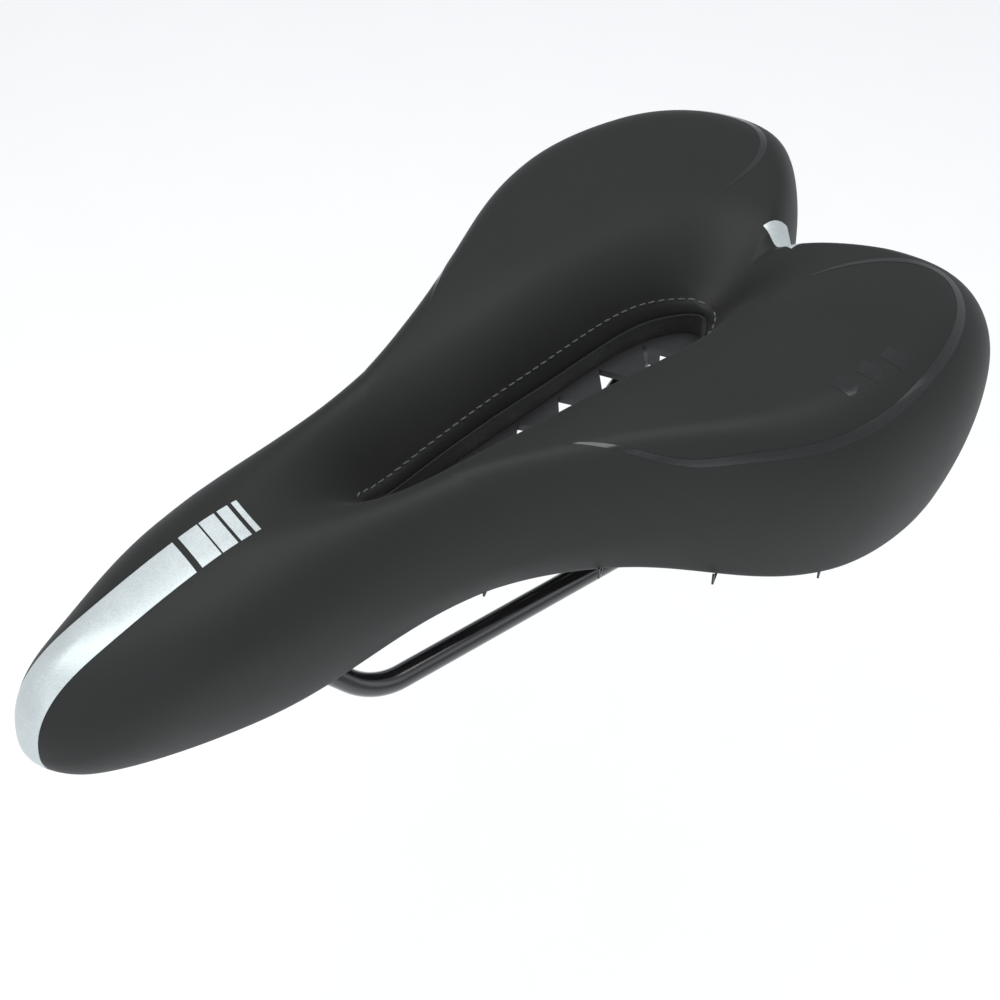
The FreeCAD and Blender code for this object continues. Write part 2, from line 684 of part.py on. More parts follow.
# Gloss line round each wing: a crescent that tapers to a point at both ends.
WING_LINE = [
    (11, 31.5), (3, 38.5), (-6, 46.5), (-17, 54.5), (-28, 61), (-40, 67), (-52, 70.8), (-64, 72),
    (-78, 70.3), (-92, 66), (-104, 59.5), (-113, 50.5), (-116, 42), (-113, 34), (-105, 27.5),
    (-94, 23.5), (-83, 20.5)]


def wing_line_prism():
    """Prism over the crescent between two smooth curves beside the line's middle."""
    count = len(WING_LINE)
    left = []
    right = []
    for i, (x, y) in enumerate(WING_LINE):
        ahead = WING_LINE[min(i + 1, count - 1)]
        behind = WING_LINE[max(i - 1, 0)]
        along_x = ahead[0] - behind[0]
        along_y = ahead[1] - behind[1]
        norm = math.hypot(along_x, along_y)
        out_x = -along_y / norm
        out_y = along_x / norm
        rise = cover_height(x + out_x / 2, y + out_y / 2) - cover_height(x - out_x / 2, y - out_y / 2)
        taper = math.sin(math.pi * i / (count - 1)) ** 0.7 if 0 < i < count - 1 else 0.0
        half = 1.8 * taper / math.hypot(1, rise)
        left.append(Vector(x + out_x * half, y + out_y * half, 56))
        right.append(Vector(x - out_x * half, y - out_y * half, 56))
    outline = Part.Wire([spline(left), spline(right)])
    return Part.Face(outline).extrude(Vector(0, 0, 30))


wing_line_left = boolean("common", "wing_line_left", film_wing,
                         [feature("wing_line_prism", wing_line_prism())])
films += [wing_line_left, feature("wing_line_right", mirrored(wing_line_left.Shape))]

# ------------------------------------------------------------------ checks and export
NODES = [cover, foam_pad, base_shell, rails, cutout_lining, cutout_stitching, staples] + gel_pads + films
doc.recompute()
for thing in doc.Objects:
    if "Invalid" in thing.State or "Error" in thing.State:
        raise RuntimeError(f"{thing.Label} failed: {thing.State}")
os.makedirs("parts", exist_ok=True)
for node in NODES:
    shape = node.Shape
    if shape.isNull() or not shape.isValid() or not shape.Solids:
        raise RuntimeError(f"{node.Label} has no valid solid")
    shape.exportStep(f"parts/{node.Label}.step")
    print(f"{node.Label}: {len(shape.Solids)} solids, {shape.Volume:.1f} mm3")
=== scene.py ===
"""Looks of a padded road saddle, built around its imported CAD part.

The frame is the CAD's: +X to the nose, +Y to the rider's left, +Z up, in metres, with the origin
midway between the rails. The padded form follows the same stations as the CAD source, kept here
in millimetres.
"""
import math

import bmesh
import bpy
import numpy as np
from mathutils import Matrix, Vector
from mathutils.bvhtree import BVHTree


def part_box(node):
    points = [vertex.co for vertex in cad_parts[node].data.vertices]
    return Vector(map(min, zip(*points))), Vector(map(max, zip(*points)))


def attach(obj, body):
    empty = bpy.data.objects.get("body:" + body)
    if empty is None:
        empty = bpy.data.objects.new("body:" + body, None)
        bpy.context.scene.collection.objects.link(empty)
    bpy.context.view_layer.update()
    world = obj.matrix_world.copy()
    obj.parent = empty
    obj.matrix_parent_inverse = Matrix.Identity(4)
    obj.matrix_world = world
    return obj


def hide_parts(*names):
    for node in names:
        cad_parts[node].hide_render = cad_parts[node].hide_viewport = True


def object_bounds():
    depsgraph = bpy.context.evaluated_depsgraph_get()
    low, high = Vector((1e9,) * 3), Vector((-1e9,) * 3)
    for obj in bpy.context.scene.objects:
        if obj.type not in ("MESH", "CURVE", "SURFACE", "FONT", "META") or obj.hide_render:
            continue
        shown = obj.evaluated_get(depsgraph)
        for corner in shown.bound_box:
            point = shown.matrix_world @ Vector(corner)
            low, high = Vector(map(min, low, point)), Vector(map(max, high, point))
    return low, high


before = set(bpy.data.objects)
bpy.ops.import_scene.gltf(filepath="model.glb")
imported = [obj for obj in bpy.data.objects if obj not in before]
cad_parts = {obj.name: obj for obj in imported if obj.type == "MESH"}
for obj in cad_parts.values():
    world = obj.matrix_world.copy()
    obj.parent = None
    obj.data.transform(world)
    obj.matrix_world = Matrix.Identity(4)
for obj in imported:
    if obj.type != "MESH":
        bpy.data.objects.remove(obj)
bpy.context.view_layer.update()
MM = 0.001

# ------------------------------------------------------------------ stations, in millimetres
OUTLINE = [
    (162, 0), (157.5, 9), (146, 15.5), (124, 22), (98, 26.5), (74, 28), (50, 30), (27, 35.5),
    (5, 45), (-16, 56.5), (-37, 69), (-60, 76.5), (-82, 76), (-100, 72), (-114, 65),
    (-124.5, 54.5), (-128.5, 42), (-123.5, 29), (-113, 15.5), (-103, 5.5), (-99.5, 0)]
RIM = [(54, 0), (47, 2.2), (35, 3.6), (5, 7), (-12, 8.6), (-35, 10.4), (-50, 9.4), (-60, 5.6), (-64, 0)]
CROWN = [(162, 50), (146, 52.5), (130, 57), (108, 64), (75, 69.5), (45, 71.5), (15, 72.5),
         (-15, 75.5), (-45, 76.5), (-75, 77), (-100, 75), (-128, 70.5)]
TROUGH_DEPTH = [(162, 0), (110, 0), (92, 0.6), (80, 3), (70, 8), (60, 16), (52, 22.5), (35, 24),
                (5, 23.5), (-12, 25), (-35, 24.5), (-50, 23.5), (-64, 22.5), (-72, 18),
                (-80, 12.5), (-90, 6.5), (-100, 4.5), (-128, 2)]
TROUGH_WIDTH = [(162, 12), (85, 12), (40, 13), (0, 14), (-60, 16), (-85, 20), (-100, 25), (-128, 30)]
WAIST = [(162, 25), (140, 29), (120, 37), (90, 40.5), (50, 39), (10, 42.5), (-30, 46.5),
         (-70, 46), (-100, 47), (-128, 48.5)]
HEM = [(162, 13), (140, 10), (110, 11), (80, 14), (50, 22), (20, 27.5), (-10, 26), (-40, 17.5),
       (-70, 12), (-95, 11.5), (-128, 20)]
SHOULDER = [(162, 22), (130, 25.5), (100, 27), (50, 23), (0, 22), (-50, 23), (-128, 20)]
PLATE = [(162, 31), (138, 34), (110, 37), (80, 39), (50, 40), (0, 41), (-40, 43.5), (-64, 45), (-128, 46)]
SPINE_FRONT = 138.0
SPINE_REAR = -76.0
ROUNDNESS = 2.2
TUCK = 6.0
HEM_FLAP = 5.0
SHELL_INSET = 8.8
SKIN = 1.3
RIM_FRONT_SHARE = 0.375
RIM_REAR_SHARE = 0.90
RIM_ROLL = 1.6
SEAM_INSET = 1.6


def natural_spline(knots, values):
    """Natural cubic spline as a function of an array, held at its end values outside."""
    knots = np.asarray(knots, float)
    values = np.asarray(values, float)
    count = len(knots)
    step = np.diff(knots)
    slope = np.diff(values) / step
    matrix = np.eye(count)
    right = np.zeros(count)
    for i in range(1, count - 1):
        matrix[i, i - 1:i + 2] = step[i - 1], 2 * (step[i - 1] + step[i]), step[i]
        right[i] = 6 * (slope[i] - slope[i - 1])
    bend = np.linalg.solve(matrix, right)

    def value_at(x):
        x = np.clip(x, knots[0], knots[-1])
        i = np.clip(np.searchsorted(knots, x, side="right") - 1, 0, count - 2)
        before = x - knots[i]
        after = knots[i + 1] - x
        cubic = (bend[i] * after ** 3 + bend[i + 1] * before ** 3) / (6 * step[i])
        left = values[i] / step[i] - bend[i] * step[i] / 6
        ahead = values[i + 1] / step[i] - bend[i + 1] * step[i] / 6
        return cubic + left * after + ahead * before
    return value_at


def along(stations):
    """Function of x through a station list."""
    ordered = sorted(stations)
    return natural_spline([x for x, value in ordered], [value for x, value in ordered])


crown = along(CROWN)
trough_depth = along(TROUGH_DEPTH)
trough_width = along(TROUGH_WIDTH)
waist = along(WAIST)
hem = along(HEM)
shoulder = along(SHOULDER)
plate = along(PLATE)


def path_lengths(path):
    """Length along a polyline at each of its points."""
    steps = np.linalg.norm(np.diff(path, axis=0), axis=1)
    return np.concatenate([[0.0], np.cumsum(steps)])


def at_lengths(path, lengths):
    """Points of a polyline at the given lengths along it."""
    reached = path_lengths(path)
    return np.column_stack([np.interp(lengths, reached, column) for column in path.T])


def evenly(path, count):
    return at_lengths(path, np.linspace(0, path_lengths(path)[-1], count))


def half_loop(points, samples=1600):
    """Dense points of the symmetric smooth curve through a half outline, nose side first."""
    half = np.array(points, float)
    flip = np.array([1.0, -1.0])
    whole = np.vstack([half[3:0:-1] * flip, half, half[-2:-5:-1] * flip])
    knots = np.concatenate([[0.0], np.cumsum(np.linalg.norm(np.diff(whole, axis=0), axis=1) ** 0.5)])
    t = np.linspace(knots[3], knots[3 + len(half) - 1], samples)
    dense = np.column_stack([natural_spline(knots, column)(t) for column in whole.T])
    dense[:, 1] = np.maximum(dense[:, 1], 0.0)
    dense[[0, -1], 1] = 0.0
    return dense


outline_curve = half_loop(OUTLINE)
rim_curve = half_loop(RIM)
inner_curve = np.vstack([[SPINE_FRONT, 0.0], rim_curve, [SPINE_REAR, 0.0]])
inner_length = path_lengths(inner_curve)[-1]
nose_spine = SPINE_FRONT - RIM[0][0]
rim_length = path_lengths(rim_curve)[-1]
INNER_SHARES = [RIM_FRONT_SHARE, 0.43, 0.62, 0.80, RIM_REAR_SHARE, 1]
INNER_LENGTHS = [nose_spine, nose_spine + 12, nose_spine + 62, nose_spine + 0.78 * rim_length,
                 nose_spine + rim_length, inner_length]


def inner_points(shares):
    """Where the sections start, on the centre line or the channel's edge."""
    nose = nose_spine * (np.minimum(shares, RIM_FRONT_SHARE) / RIM_FRONT_SHARE) ** 1.6
    rest = np.interp(shares, INNER_SHARES, INNER_LENGTHS)
    return at_lengths(inner_curve, np.where(shares < RIM_FRONT_SHARE, nose, rest))


def rim_half_width(x):
    """Half width of the channel's opening at x, and 0 ahead of it and behind it."""
    order = rim_curve[::-1]
    return np.where((x > order[0, 0]) & (x < order[-1, 0]), np.interp(x, order[:, 0], order[:, 1]), 0.0)


def rim_distance(x, y):
    """Distance in plan from points to the edge of the channel's opening."""
    flat_x = np.ravel(x)
    flat_y = np.abs(np.ravel(y))
    best = np.full(flat_x.shape, 1e9)
    for rim_x, rim_y in rim_curve[::3]:
        best = np.minimum(best, (flat_x - rim_x) ** 2 + (flat_y - rim_y) ** 2)
    return np.sqrt(best).reshape(np.shape(x))


def top_height(x, y):
    """Height of the padded top before its shoulders round off."""
    reach = np.maximum(y ** 2 - rim_half_width(x) ** 2, -30.0)
    return crown(x) - trough_depth(x) * np.exp(-reach / trough_width(x) ** 2)


class Rulings:
    """Upright section planes from the centre line or the channel's edge out to the outline."""

    def __init__(self, shares, to_centre=False):
        outline_length = path_lengths(outline_curve)[-1]
        self.shares = shares
        self.outer = at_lengths(outline_curve, shares * outline_length)
        self.inner = inner_points(shares)
        span = self.outer - self.inner
        if to_centre:
            back = np.where(self.inner[:, 1] > 0, self.inner[:, 1] / np.maximum(span[:, 1], 1e-9), 0)
            self.inner = self.inner - span * back[:, None]
            span = self.outer - self.inner
        self.reach = np.linalg.norm(span, axis=1)
        self.way = span / self.reach[:, None]
        self.waist = waist(self.outer[:, 0])
        self.hem = hem(self.outer[:, 0])
        self.shoulder = np.minimum(shoulder(self.outer[:, 0]), 0.97 * self.reach)

    def plan(self, r):
        return self.inner[:, 0] + self.way[:, 0] * r, self.inner[:, 1] + self.way[:, 1] * r

    def points(self, r, z):
        x, y = self.plan(r)
        return np.column_stack([x, y, z])

    def top(self, r, depth):
        """Height of the padded top at r, with the layers above it, depth thick, taken off."""
        low = top_height(*self.plan(np.maximum(r - 0.5, 0.0)))
        high = top_height(*self.plan(r + 0.5))
        slope = (high - low) / (r + 0.5 - np.maximum(r - 0.5, 0.0))
        return top_height(*self.plan(r)) - depth * np.minimum(np.sqrt(1 + slope ** 2), 2.2)

    def crest(self, depth, flat_steps, round_steps):
        """Rows of points from the inner end to the widest line."""
        rows = []
        flat = self.reach - self.shoulder
        for step in flat_steps:
            r = flat * step
            rows.append(self.points(r, self.top(r, depth)))
        for step in range(round_steps):
            angle = math.pi / 2 * step / (round_steps - 1)
            r = flat + (self.shoulder - depth) * math.sin(angle) ** (2 / ROUNDNESS)
            rise = self.top(r, depth) - self.waist
            rows.append(self.points(r, self.waist + rise * math.cos(angle) ** (2 / ROUNDNESS)))
        return rows

    def tray(self, depth, bottom, steps=9):
        """Rows of the base shell's upper side, depth inside it, down to height bottom."""
        edge = self.reach - SHELL_INSET
        bend = np.minimum(20.0, 0.96 * edge)
        foot = self.hem + 8.0
        rows = []
        for share in (0, 0.25, 0.5, 0.75):
            r = (edge - bend) * share
            rows.append(self.points(r, plate(self.plan(r)[0]) - depth))
        for step in range(steps):
            angle = math.pi / 2 * step / (steps - 1)
            r = edge - bend + (bend - depth) * math.sin(angle) ** (2 / ROUNDNESS)
            rise = plate(self.plan(r)[0]) - depth - foot
            rows.append(self.points(r, foot + rise * math.cos(angle) ** (2 / ROUNDNESS)))
        for part in (0.5, 1.0):
            rows.append(self.points(edge - depth, foot + (bottom - foot) * part))
        return rows


def shares_of(nose, channel, tail):
    """Shares of the outline for the rulings: counts ahead of, beside and behind the channel."""
    return np.unique(np.concatenate([
        np.linspace(0, RIM_FRONT_SHARE, nose),
        np.linspace(RIM_FRONT_SHARE, RIM_REAR_SHARE, channel),
        np.linspace(RIM_REAR_SHARE, 1, tail)]))


# ------------------------------------------------------------------ meshes
def add_object(name, mesh):
    thing = bpy.data.objects.new(name, mesh)
    bpy.context.scene.collection.objects.link(thing)
    return thing


def mesh_object(name, vertices, faces, sharp_angle=180.0):
    """Smooth-shaded object from points in millimetres, with the edges over sharp_angle kept crisp."""
    mesh = bpy.data.meshes.new(name)
    mesh.from_pydata([Vector(v) * MM for v in vertices], [], [list(map(int, f)) for f in faces])
    finish_mesh(mesh, sharp_angle)
    return add_object(name, mesh)


def finish_mesh(mesh, sharp_angle=180.0):
    """Merges double points, turns the faces outwards and shades them smooth."""
    work = bmesh.new()
    work.from_mesh(mesh)
    bmesh.ops.remove_doubles(work, verts=work.verts, dist=2e-6)
    bmesh.ops.dissolve_degenerate(work, edges=work.edges, dist=1e-7)
    bmesh.ops.recalc_face_normals(work, faces=work.faces)
    work.to_mesh(mesh)
    work.free()
    mesh.polygons.foreach_set("use_smooth", [True] * len(mesh.polygons))
    mesh.set_sharp_from_angle(angle=math.radians(sharp_angle))
    mesh.update()


def grid_faces(rows, columns, offset=0, closed=False):
    """Quads between rows of points laid one after another."""
    faces = []
    for i in range(rows - 1):
        for j in range(columns if closed else columns - 1):
            k = (j + 1) % columns
            a = offset + i * columns
            faces.append((a + j, a + k, a + columns + k, a + columns + j))
    return faces


def both_sides(rows, strips):
    """Points and faces of a half form and its mirror image.

    rows are arrays with one point for each ruling. strips are (first row, last row, rulings) with
    the rulings between which that band of rows has faces.
    """
    half = np.array(rows)
    count, columns = half.shape[:2]
    points = np.concatenate([half.reshape(-1, 3), half.reshape(-1, 3) * [1, -1, 1]])
    faces = []
    for first, last, rulings in strips:
        for i in range(first, last):
            for j in rulings:
                a = i * columns + j
                quad = (a, a + 1, a + columns + 1, a + columns)
                faces.append(quad)
                faces.append(tuple(v + count * columns for v in quad[::-1]))
    return points, faces


def solidify(thing, thickness, offset=-1.0):
    """Gives a sheet its thickness, with the modifier applied."""
    modifier = thing.modifiers.new("thickness", "SOLIDIFY")
    modifier.thickness = thickness * MM
    modifier.offset = offset
    modifier.use_even_offset = False
    apply_modifiers(thing)


def apply_modifiers(thing):
    depsgraph = bpy.context.evaluated_depsgraph_get()
    mesh = bpy.data.meshes.new_from_object(thing.evaluated_get(depsgraph))
    thing.modifiers.clear()
    thing.data = mesh


# ------------------------------------------------------------------ materials
class Nodes:
    """Short way to build one node material."""

    def __init__(self, name):
        self.material = bpy.data.materials.new(name)
        self.material.use_nodes = True
        self.tree = self.material.node_tree
        self.shader = next(n for n in self.tree.nodes if n.type == "BSDF_PRINCIPLED")
        self.place = self.add("ShaderNodeTexCoord").outputs["Object"]

    def add(self, kind, inputs=None, **settings):
        node = self.tree.nodes.new(kind)
        for key, value in settings.items():
            setattr(node, key, value)
        for key, value in (inputs or {}).items():
            if isinstance(value, bpy.types.NodeSocket):
                self.tree.links.new(value, node.inputs[key])
            else:
                node.inputs[key].default_value = value
        return node

    def noise(self, size_mm, detail=2.0, roughness=0.5, place=None):
        node = self.add("ShaderNodeTexNoise", {"Vector": place or self.place, "Scale": 1 / (size_mm * MM),
                                               "Detail": detail, "Roughness": roughness})
        return node.outputs["Fac"]

    def cells(self, size_mm, feature="F1", place=None):
        node = self.add("ShaderNodeTexVoronoi", {"Vector": place or self.place, "Scale": 1 / (size_mm * MM)},
                        feature=feature)
        return node

    def math(self, operation, a, b=0.0):
        return self.add("ShaderNodeMath", {0: a, 1: b}, operation=operation).outputs[0]

    def ranged(self, value, low, high, new_low, new_high):
        node = self.add("ShaderNodeMapRange", {"Value": value, "From Min": low, "From Max": high,
                                               "To Min": new_low, "To Max": new_high})
        return node.outputs["Result"]

    def mixed(self, factor, first, second):
        node = self.add("ShaderNodeMix", {"Factor": factor}, data_type="RGBA")
        for socket, value in zip([s for s in node.inputs if s.type == "RGBA"], (first, second)):
            if isinstance(value, bpy.types.NodeSocket):
                self.tree.links.new(value, socket)
            else:
                socket.default_value = (*value, 1.0)
        return next(s for s in node.outputs if s.type == "RGBA")

    def bump(self, height, depth_mm, strength=1.0):
        node = self.add("ShaderNodeBump", {"Height": height, "Distance": depth_mm * MM, "Strength": strength})
        self.link("Normal", node.outputs["Normal"])

    def link(self, socket, value):
        if isinstance(value, bpy.types.NodeSocket):
            self.tree.links.new(value, self.shader.inputs[socket])
        else:
            self.shader.inputs[socket].default_value = value

    def setting(self, **values):
        for key, value in values.items():
            self.shader.inputs[key.replace("_", " ")].default_value = value


def cover_material():
    """Matt synthetic leather: a fine pebble grain, a little uneven in colour and gloss."""
    n = Nodes("cover_black")
    pebbles = n.cells(0.75, "SMOOTH_F1").outputs["Distance"]
    fine = n.noise(0.28, 3.0, 0.6)
    broad = n.noise(22, 3.0, 0.55)
    tone = n.math("ADD", n.math("MULTIPLY", broad, 0.7), n.math("MULTIPLY", fine, 0.3))
    n.link("Base Color", n.mixed(tone, (0.0095, 0.0098, 0.0094), (0.0150, 0.0153, 0.0148)))
    n.link("Roughness", n.ranged(n.math("ADD", n.math("MULTIPLY", fine, 0.5), n.math("MULTIPLY", broad, 0.5)),
                                 0.25, 0.75, 0.52, 0.66))
    n.bump(n.math("SUBTRACT", n.math("MULTIPLY", fine, 0.6), n.math("MULTIPLY", pebbles, 0.7)), 0.045)
    n.setting(Specular_IOR_Level=0.27, Sheen_Weight=0.04, Sheen_Roughness=0.45)
    return n.material


def film_material():
    """Silver film with a fine metallic sparkle."""
    n = Nodes("silver_film")
    flakes = n.cells(0.16)
    glint = n.ranged(flakes.outputs["Color"], 0.2, 0.9, 0.0, 1.0)
    cloud = n.noise(5, 3.0)
    tone = n.math("ADD", n.math("MULTIPLY", glint, 0.6), n.math("MULTIPLY", cloud, 0.4))
    n.link("Base Color", n.mixed(tone,
                                 (0.42, 0.47, 0.48), (0.66, 0.71, 0.71)))
    n.link("Roughness", n.ranged(glint, 0, 1, 0.34, 0.52))
    n.bump(flakes.outputs["Distance"], 0.02, 0.5)
    n.setting(Metallic=0.35, Specular_IOR_Level=0.6)
    return n.material


def gloss_material():
    """Gloss black print, slightly rippled by the leather under it."""
    n = Nodes("gloss_print")
    ripple = n.noise(1.1, 2.0)
    n.link("Base Color", n.mixed(n.noise(9, 2.0), (0.0035, 0.0038, 0.0042), (0.0075, 0.0080, 0.0085)))
    n.link("Roughness", n.ranged(ripple, 0.3, 0.7, 0.14, 0.24))
    n.bump(ripple, 0.03, 0.6)
    n.setting(Specular_IOR_Level=0.5, Coat_Weight=0.4, Coat_Roughness=0.12)
    return n.material


def rail_material():
    """Gloss black paint on steel wire, with a faint orange peel."""
    n = Nodes("rail_gloss")
    peel = n.noise(1.6, 2.0)
    dust = n.noise(7, 4.0, 0.65)
    n.link("Base Color", n.mixed(dust, (0.004, 0.004, 0.0045), (0.011, 0.011, 0.012)))
    n.link("Roughness", n.ranged(dust, 0.3, 0.75, 0.16, 0.30))
    n.bump(peel, 0.02, 0.5)
    n.setting(Specular_IOR_Level=0.5, Coat_Weight=0.8, Coat_Roughness=0.08)
    return n.material


def lining_material():
    """Close black weave."""
    n = Nodes("lining_black")
    warp = n.add("ShaderNodeTexWave", {"Vector": n.place, "Scale": 1100.0, "Distortion": 0.8, "Detail": 1.0},
                 bands_direction="X").outputs["Fac"]
    weft = n.add("ShaderNodeTexWave", {"Vector": n.place, "Scale": 1100.0, "Distortion": 0.8, "Detail": 1.0},
                 bands_direction="Z").outputs["Fac"]
    weave = n.math("MAXIMUM", warp, weft)
    n.link("Base Color", n.mixed(weave, (0.004, 0.004, 0.0045), (0.014, 0.0145, 0.0155)))
    n.link("Roughness", n.ranged(weave, 0, 1, 0.92, 0.78))
    n.bump(weave, 0.12, 0.7)
    n.setting(Specular_IOR_Level=0.25, Sheen_Weight=0.15)
    return n.material


def thread_material():
    """Twisted grey thread."""
    n = Nodes("thread_grey")
    ply = n.add("ShaderNodeTexWave", {"Vector": n.place, "Scale": 900.0, "Distortion": 1.5},
                bands_direction="DIAGONAL").outputs["Fac"]
    fuzz = n.noise(0.2, 3.0)
    n.link("Base Color", n.mixed(n.math("MULTIPLY", ply, fuzz), (0.030, 0.032, 0.034), (0.125, 0.130, 0.138)))
    n.link("Roughness", n.ranged(fuzz, 0.3, 0.7, 0.6, 0.8))
    n.bump(ply, 0.08, 0.8)
    n.setting(Sheen_Weight=0.3)
    return n.material


def shell_material():
    """Moulded nylon with a fine spark-eroded texture."""
    n = Nodes("shell_plastic")
    fine = n.noise(0.35, 3.0, 0.6)
    flow = n.noise(30, 3.0)
    n.link("Base Color", n.mixed(flow, (0.014, 0.0145, 0.0155), (0.024, 0.0245, 0.026)))
    n.link("Roughness", n.ranged(n.math("ADD", fine, n.math("MULTIPLY", flow, 0.6)), 0.4, 1.2, 0.38, 0.58))
    n.bump(fine, 0.05, 0.6)
    n.setting(Specular_IOR_Level=0.45)
    return n.material


def staple_material():
    """Drawn steel wire."""
    n = Nodes("staple_steel")
    drawn = n.noise(0.5, 4.0)
    n.link("Base Color", n.mixed(drawn, (0.030, 0.031, 0.033), (0.070, 0.071, 0.074)))
    n.link("Roughness", n.ranged(drawn, 0.3, 0.7, 0.22, 0.42))
    n.bump(drawn, 0.01, 0.5)
    n.setting(Metallic=1.0)
    return n.material


def foam_material():
    """Moulded open-cell foam."""
    n = Nodes("foam")
    pores = n.cells(0.9, "F1").outputs["Distance"]
    n.link("Base Color", n.mixed(pores, (0.012, 0.012, 0.013), (0.040, 0.040, 0.042)))
    n.link("Roughness", n.ranged(pores, 0, 0.8, 0.95, 0.8))
    n.bump(pores, 0.4, 0.8)
    n.setting(Subsurface_Weight=0.1)
    return n.material


def gel_material():
    """Blue elastomer gel, slightly cloudy."""
    n = Nodes("gel")
    cloud = n.noise(6, 4.0)
    n.link("Base Color", n.mixed(cloud, (0.03, 0.11, 0.30), (0.08, 0.24, 0.50)))
    n.link("Roughness", n.ranged(cloud, 0.3, 0.7, 0.12, 0.3))
    n.bump(n.noise(2.5, 2.0), 0.05, 0.5)
    n.setting(Transmission_Weight=0.25, IOR=1.42)
    return n.material


MATERIALS = {
    "cover_black": cover_material(), "silver_film": film_material(), "gloss_print": gloss_material(),
    "rail_gloss": rail_material(), "lining_black": lining_material(), "thread_grey": thread_material(),
    "shell_plastic": shell_material(), "staple_steel": staple_material(), "foam": foam_material(),
    "gel": gel_material()}


def dressed(thing, slot, *nodes):
    """Material of a piece from its slot, its body, and the CAD nodes that it stands for."""
    thing.data.materials.clear()
    thing.data.materials.append(MATERIALS[slot])
    if nodes:
        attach(thing, "root")
        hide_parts(*nodes)
    return thing


# ------------------------------------------------------------------ cover
FLAT_STEPS = [0, 0.004, 0.009, 0.015, 0.022, 0.030, 0.040, 0.052, 0.066, 0.083, 0.105, 0.135, 0.175,
              0.225, 0.285, 0.355, 0.435, 0.52, 0.61, 0.70, 0.79, 0.87, 0.94]


def edge_profile(distance):
    """Change of height near the channel: a rolled edge, and a furrow that the stitches pull in."""
    inside = np.clip(RIM_ROLL - distance, 0, RIM_ROLL)
    roll = RIM_ROLL - np.sqrt(RIM_ROLL ** 2 - inside ** 2)
    furrow = 0.32 * np.exp(-((distance - SEAM_INSET - 0.5) / 0.55) ** 2)
    return -roll - furrow


def rim_columns(rulings):
    """Numbers of the rulings that start on the channel's rim."""
    slack = 1e-9
    shares = rulings.shares
    return np.flatnonzero((shares >= RIM_FRONT_SHARE - slack) & (shares <= RIM_REAR_SHARE + slack))


def build_cover():
    """Outer skin of the saddle, from the rolled channel edge to the hem turned under the shell."""
    rulings = Rulings(shares_of(120, 190, 60))
    rows = []
    for row in rulings.crest(0.0, FLAT_STEPS, 22):
        near = row[:, :2]
        row[:, 2] += edge_profile(rim_distance(near[:, 0], near[:, 1]))
        rows.append(row)
    rim_row = rows[0]
    wall = [rim_row - [0, 0, drop] for drop in (3.2, 2.2, 1.3, 0.55)]
    drop = rulings.waist - rulings.hem
    corner = 1.6
    for part in np.linspace(0, 1, 15)[1:-1]:
        z = rulings.waist - drop * part
        keep = z > rulings.hem + corner
        z = np.where(keep, z, rulings.hem + corner)
        r = rulings.reach - TUCK * ((rulings.waist - z) / drop) ** 2
        rows.append(rulings.points(r, z))
    start_r = rulings.reach - TUCK * ((drop - corner) / drop) ** 2
    turn_r = rulings.reach - TUCK - 0.25
    for t in (0.2, 0.4, 0.6, 0.8, 1.0):
        r = (1 - t) ** 2 * start_r + 2 * t * (1 - t) * turn_r + t ** 2 * (turn_r - corner)
        z = rulings.hem + corner * (1 - t) ** 2
        rows.append(rulings.points(r, z))
    pleat = np.sin(path_lengths(rulings.outer) * 2 * math.pi / 5.2)
    tightness = np.exp(-((rulings.shares - 0.0) / 0.07) ** 2) + np.exp(-((rulings.shares - 0.80) / 0.09) ** 2)
    for part in (0.25, 0.5, 0.75, 1.0):
        r = turn_r - corner - (HEM_FLAP - corner) * part
        z = rulings.hem + 0.22 * part * tightness * (1 - pleat)
        rows.append(rulings.points(r, z))
    points, faces = both_sides(rows, [(0, len(rows) - 1, range(len(rulings.shares) - 1))])
    on_rim = rim_columns(rulings)
    wall_points, wall_faces = both_sides(wall + [rim_row], [(0, len(wall), on_rim[:-1])])
    faces += [tuple(v + len(points) for v in face) for face in wall_faces]
    sheet = mesh_object("cover", np.concatenate([points, wall_points]), faces)
    keep_used_points(sheet.data)
    return sheet


def keep_used_points(mesh):
    """Removes points that no face uses."""
    work = bmesh.new()
    work.from_mesh(mesh)
    bmesh.ops.delete(work, geom=[v for v in work.verts if not v.link_faces], context="VERTS")
    bmesh.ops.recalc_face_normals(work, faces=work.faces)
    crown_face = max(work.faces, key=lambda f: f.calc_center_median().z)
    if crown_face.normal.z < 0:
        bmesh.ops.reverse_faces(work, faces=work.faces)
    work.to_mesh(mesh)
    work.free()


cover = build_cover()
outer_skin = BVHTree.FromPolygons([v.co.copy() for v in cover.data.vertices],
                                  [tuple(p.vertices) for p in cover.data.polygons])
solidify(cover, SKIN - 0.1)
finish_mesh(cover.data)
dressed(cover, "cover_black", "cover")


# ------------------------------------------------------------------ channel lining and stitches
def moved_rim(shift, count):
    """Half edge of the channel moved outwards by shift, or inwards if negative: even points."""
    ahead = np.gradient(rim_curve, axis=0)
    normal = np.column_stack([-ahead[:, 1], ahead[:, 0]]) / np.linalg.norm(ahead, axis=1)[:, None]
    path = rim_curve - normal * shift
    path = path[path[:, 1] > 0.02]
    path = np.vstack([[path[0, 0], 0.0], path, [path[-1, 0], 0.0]])
    return evenly(path, count)


